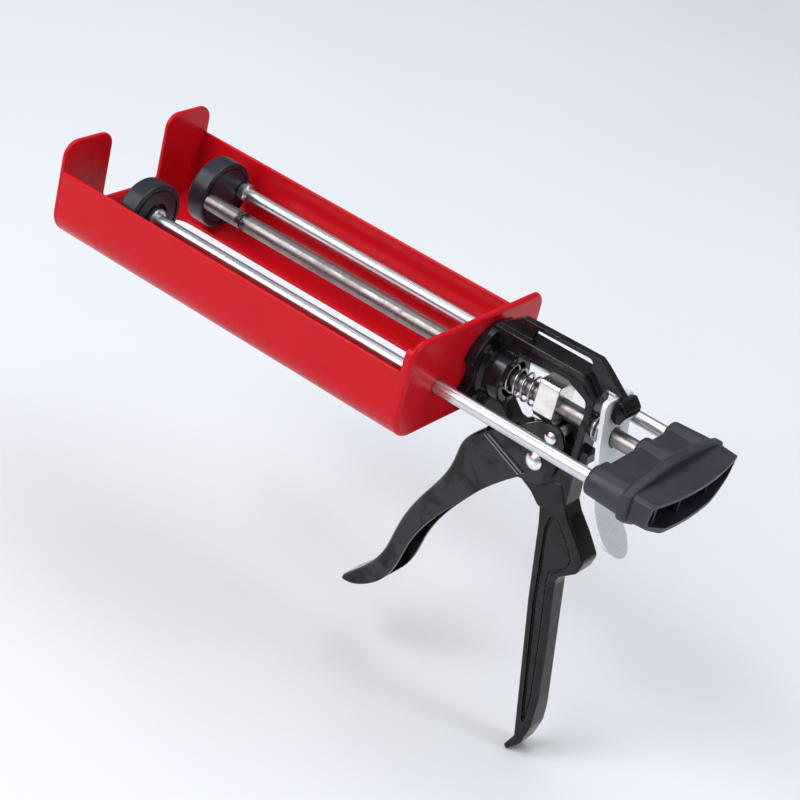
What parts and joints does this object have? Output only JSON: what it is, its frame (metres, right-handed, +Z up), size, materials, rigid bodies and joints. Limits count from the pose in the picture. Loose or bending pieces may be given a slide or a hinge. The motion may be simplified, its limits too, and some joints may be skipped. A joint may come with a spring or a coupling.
{
  "type": "dual cartridge caulking gun",
  "caption": "Hand-operated dual-cartridge caulking gun: sheet cradle, paired pusher discs on rods, trigger-fed drive rod, release plate, pistol grip and rear pull handle.",
  "frame": {"origin": "on the drive rod's axis, at the rear face of the cradle's rear plate", "axes": "+X towards the pull handle, so the nozzle end is -X; +Y the user's right; +Z up"},
  "size_m": [0.3617, 0.11, 0.2259],
  "materials": {
    "red_powder_coat": "gloss powder coat with a fine orange peel",
    "black_casting_enamel": "semi-gloss black enamel over a die casting",
    "black_trigger_enamel": "satin black enamel on pressed steel",
    "zinc_plate": "bright zinc plate",
    "zinc_rivet": "bright zinc plate",
    "spring_steel": "drawn spring wire",
    "satin_nickel": "satin nickel plate",
    "blasted_zinc": "fine blasted zinc plate",
    "ground_steel_rod": "ground and chromed bar with light wear",
    "chrome_rod": "bright chrome plate",
    "black_disc_plastic": "moulded nylon",
    "handle_plastic": "fine spark-eroded texture"
  },
  "bodies": {
    "frame": {"cradle_channel": "red_powder_coat", "front_plate": "red_powder_coat", "rear_plate": "red_powder_coat", "body_casting": "black_casting_enamel", "body_screws": "zinc_plate", "guide_bush": "zinc_plate", "trigger_pivot_pin": "zinc_rivet", "return_spring": "spring_steel", "brake_spring": "spring_steel"},
    "trigger_lever": {"trigger": "black_trigger_enamel", "pusher_pin": "zinc_rivet"},
    "roller": {"pusher_roller": "spring_steel"},
    "feed_block": {"drive_block": "satin_nickel"},
    "release_lever": {"release_plate": "blasted_zinc"},
    "carriage": {"drive_rod": "ground_steel_rod", "left_rod": "chrome_rod", "right_rod": "chrome_rod", "left_disc": "black_disc_plastic", "right_disc": "black_disc_plastic", "left_rod_nut": "zinc_plate", "right_rod_collar": "zinc_plate", "disc_nuts": "zinc_plate", "pull_handle": "handle_plastic", "handle_nuts": "zinc_plate"}
  },
  "joints": [
    {"name": "trigger_pull", "type": "hinge", "parent": "frame", "child": "trigger_lever", "pos_m": [0.045, 0, -0.0295], "axis": [0, -1, 0], "range_deg": [0, 32], "stiffness_Nm_per_rad": 0.6, "springref_deg": -28.65},
    {"name": "block_feed", "type": "slide", "parent": "frame", "child": "feed_block", "axis": [-1, 0, 0], "range_m": [0, 0.0093], "deforming": ["return_spring"]},
    {"name": "roller_spin", "type": "hinge", "parent": "trigger_lever", "child": "roller", "pos_m": [0.0498, 0, -0.0135], "axis": [0, 1, 0], "continuous": true},
    {"name": "release_tilt", "type": "hinge", "parent": "frame", "child": "release_lever", "pos_m": [0.0735, 0, 0.0205], "axis": [0, 1, 0], "range_deg": [0, 8], "stiffness_Nm_per_rad": 0.5, "springref_deg": -17.19, "deforming": ["brake_spring"]},
    {"name": "carriage_slide", "type": "slide", "parent": "frame", "child": "carriage", "axis": [1, 0, 0], "range_m": [-0.011, 0.176]}
  ],
  "couplings": [
    {"joint": "block_feed", "follows": "trigger_pull", "m_per_rad": 0.01649}
  ]
}
